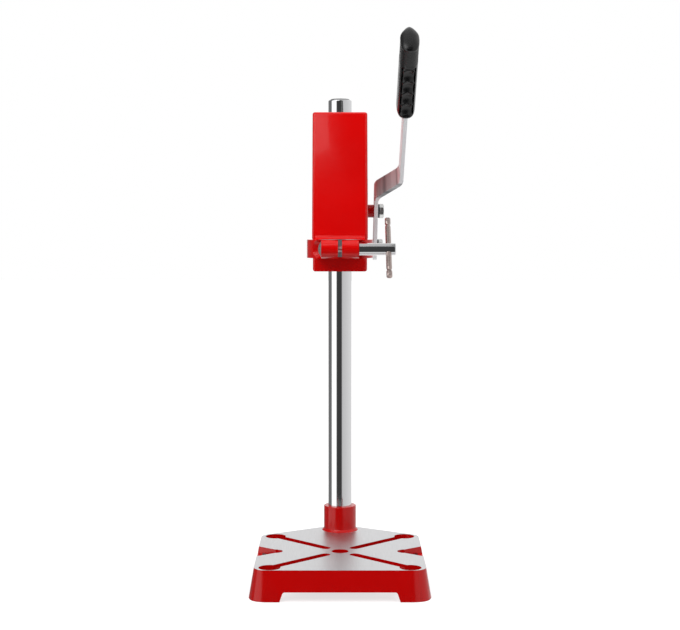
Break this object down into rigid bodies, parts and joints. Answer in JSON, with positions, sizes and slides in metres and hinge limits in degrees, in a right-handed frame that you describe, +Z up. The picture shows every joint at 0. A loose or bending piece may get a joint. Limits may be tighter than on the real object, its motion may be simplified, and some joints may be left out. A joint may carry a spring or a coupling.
{
  "type": "bench drill stand",
  "caption": "Bench stand that clamps a hand drill by its collar on a lever-fed head sliding down a chrome column over a slotted work table.",
  "frame": {"origin": "on the drill axis, at the top face of the work table, in the mouth of the centre hole", "axes": "+Z up along the drill axis, +Y back towards the column, +X to the user's right, the lever's side"},
  "size_m": [0.174, 0.2277, 0.5436],
  "materials": {
    "red_casting": "gloss red stove enamel over an aluminium casting, table top ground bare",
    "column": "polished chrome",
    "column_cap": "moulded plug",
    "height_collar": "black, lightly oiled",
    "zinc_steel": "bright zinc plate",
    "dark_steel": "blackened spring steel",
    "clamp_chrome": "polished chrome",
    "bare_steel": "bare warm grey steel, swaged ends",
    "grip": "moulded black plastic, knurled band"
  },
  "bodies": {
    "base": {"base_casting": "red_casting", "column_grub_screw": "dark_steel"},
    "column": {"column_tube": "column", "column_cap": "column_cap"},
    "carriage": {"height_collar": "height_collar", "height_clamp_bolt": "zinc_steel", "height_clamp_washers": "zinc_steel", "height_clamp_nut": "zinc_steel", "fulcrum_bolt": "zinc_steel", "fulcrum_washer": "dark_steel", "lower_spring_seat": "zinc_steel", "return_spring": "dark_steel"},
    "head": {"head_casting": "red_casting", "pivot_bolt": "zinc_steel", "pivot_washer": "dark_steel", "pivot_nut": "zinc_steel", "upper_spring_seat": "zinc_steel", "coach_bolt": "zinc_steel"},
    "lever": {"lever_bar": "zinc_steel", "lever_grip": "grip"},
    "clamp": {"clamp_barrel": "clamp_chrome"},
    "tommy": {"tommy_bar": "bare_steel"}
  },
  "joints": [
    {"name": "column_swivel", "type": "hinge", "parent": "base", "child": "column", "pos_m": [0, 0.102, 0], "axis": [0, 0, 1], "range_deg": [-180, 180]},
    {"name": "height_slide", "type": "slide", "parent": "column", "child": "carriage", "axis": [0, 0, 1], "range_m": [-0.15, 0.014]},
    {"name": "head_stroke", "type": "slide", "parent": "carriage", "child": "head", "axis": [0, 0, -1], "range_m": [0, 0.06], "stiffness_N_per_m": 1760, "springref_m": -0.03, "deforming": ["return_spring"]},
    {"name": "lever_turn", "type": "hinge", "parent": "head", "child": "lever", "pos_m": [0.0376, 0.08, 0.3394], "axis": [1, 0, 0], "range_deg": [0, 75.97]},
    {"name": "clamp_turn", "type": "hinge", "parent": "head", "child": "clamp", "pos_m": [0, -0.029, 0.3015], "axis": [1, 0, 0], "range_deg": [-360, 540]},
    {"name": "tommy_slide", "type": "slide", "parent": "clamp", "child": "tommy", "axis": [0, 0.7071, 0.7071], "range_m": [-0.028, 0.0228]}
  ],
  "couplings": [
    {"joint": "lever_turn", "follows": "head_stroke", "rad_per_m": 22.097}
  ]
}
